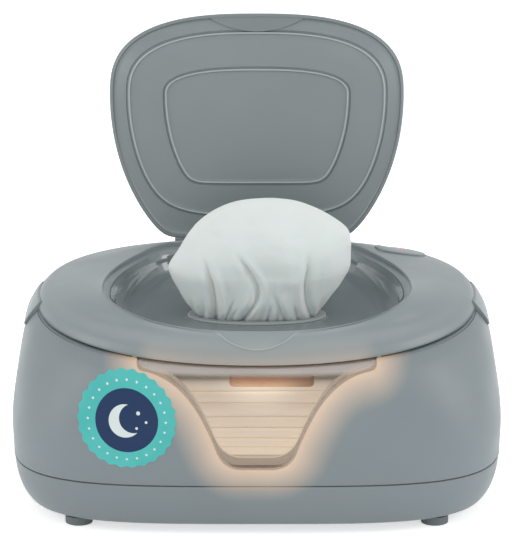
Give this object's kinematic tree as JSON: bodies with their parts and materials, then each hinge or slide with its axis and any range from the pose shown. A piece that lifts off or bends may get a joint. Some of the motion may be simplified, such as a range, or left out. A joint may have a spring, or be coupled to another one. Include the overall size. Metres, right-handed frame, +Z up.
{
  "type": "baby wipe warmer",
  "caption": "Countertop baby wipe warmer: flip lid over a dispensing bowl, hinged top cover, clear front window, side latches, night light button and a heated wipe tub",
  "frame": {"origin": "on the table, under the middle of the body: bottom centre of the box", "axes": "+X to the viewer's right along the width, front and window face -Y, +Z up"},
  "size_m": [0.253, 0.18, 0.2312],
  "materials": {
    "case_plastic": "satin moulded plastic",
    "lid_plastic": "satin moulded plastic",
    "bowl_plastic": "polished moulded plastic",
    "clear_plastic": "clear tinted plastic",
    "tub_plastic": "smooth moulded plastic",
    "seal_rubber": "soft rubber",
    "heater_metal": "rolled sheet",
    "film_amber": "printed heating film",
    "insulation_felt": "needled felt",
    "steel": "plain steel",
    "fuse_ceramic": "ceramic case",
    "board_green": "coated board",
    "part_black": "moulded part",
    "wire_grey": "wire sheath",
    "wipe_cloth": "soft moist cloth",
    "lamp_amber": "translucent light bar",
    "lamp_case": "moulded plastic",
    "lens_pink": "translucent lens"
  },
  "bodies": {
    "body": {"base_shell": "case_plastic", "body_shell": "case_plastic", "viewing_window": "clear_plastic", "window_tunnel": "clear_plastic", "inner_tub": "tub_plastic", "tub_gasket": "seal_rubber", "heater_plate": "heater_metal", "heater_film": "film_amber", "heater_insulation": "insulation_felt", "heater_screws": "steel", "thermal_fuse": "fuse_ceramic", "control_board": "board_green", "board_screws": "steel", "power_inlet": "part_black", "heater_lead": "wire_grey", "body_lead": "wire_grey", "foot_front_left": "seal_rubber", "foot_front_right": "seal_rubber", "foot_rear_left": "seal_rubber", "foot_rear_right": "seal_rubber", "case_screws": "steel", "left_hinge_pin": "steel", "right_hinge_pin": "steel", "wipe_stack": "wipe_cloth"},
    "cover": {"top_cover": "case_plastic", "dispensing_bowl": "bowl_plastic", "slot_ring": "seal_rubber", "cover_liner": "tub_plastic", "liner_screws": "steel", "lamp_housing": "lamp_case", "lamp_board": "board_green", "lamp_diffuser": "lamp_amber", "button_board": "board_green", "cover_lead": "wire_grey", "lid_hinge_pin": "steel", "raised_wipe": "wipe_cloth"},
    "lid": {"lid_shell": "lid_plastic", "lid_liner": "lid_plastic"},
    "button": {"night_light_button": "lid_plastic", "indicator_lens": "lens_pink", "button_spring": "steel"},
    "latch_left": {"left_latch": "case_plastic"},
    "latch_right": {"right_latch": "case_plastic"}
  },
  "joints": [
    {"name": "cover_hinge", "type": "hinge", "parent": "body", "child": "cover", "pos_m": [0, 0.0858, 0.10354], "axis": [-1, 0, 0], "range_deg": [0, 75]},
    {"name": "lid_hinge", "type": "hinge", "parent": "cover", "child": "lid", "pos_m": [0, 0.0633, 0.10569], "axis": [1, 0, 0], "range_deg": [0, 100], "deforming": ["raised_wipe"]},
    {"name": "button_press", "type": "slide", "parent": "cover", "child": "button", "axis": [0, 0, -1], "range_m": [0, 0.0012], "stiffness_N_per_m": 400, "deforming": ["button_spring"]},
    {"name": "latch_left_press", "type": "slide", "parent": "body", "child": "latch_left", "axis": [1, 0, 0], "range_m": [0, 0.002], "stiffness_N_per_m": 900},
    {"name": "latch_right_press", "type": "slide", "parent": "body", "child": "latch_right", "axis": [-1, 0, 0], "range_m": [0, 0.002], "stiffness_N_per_m": 900}
  ]
}
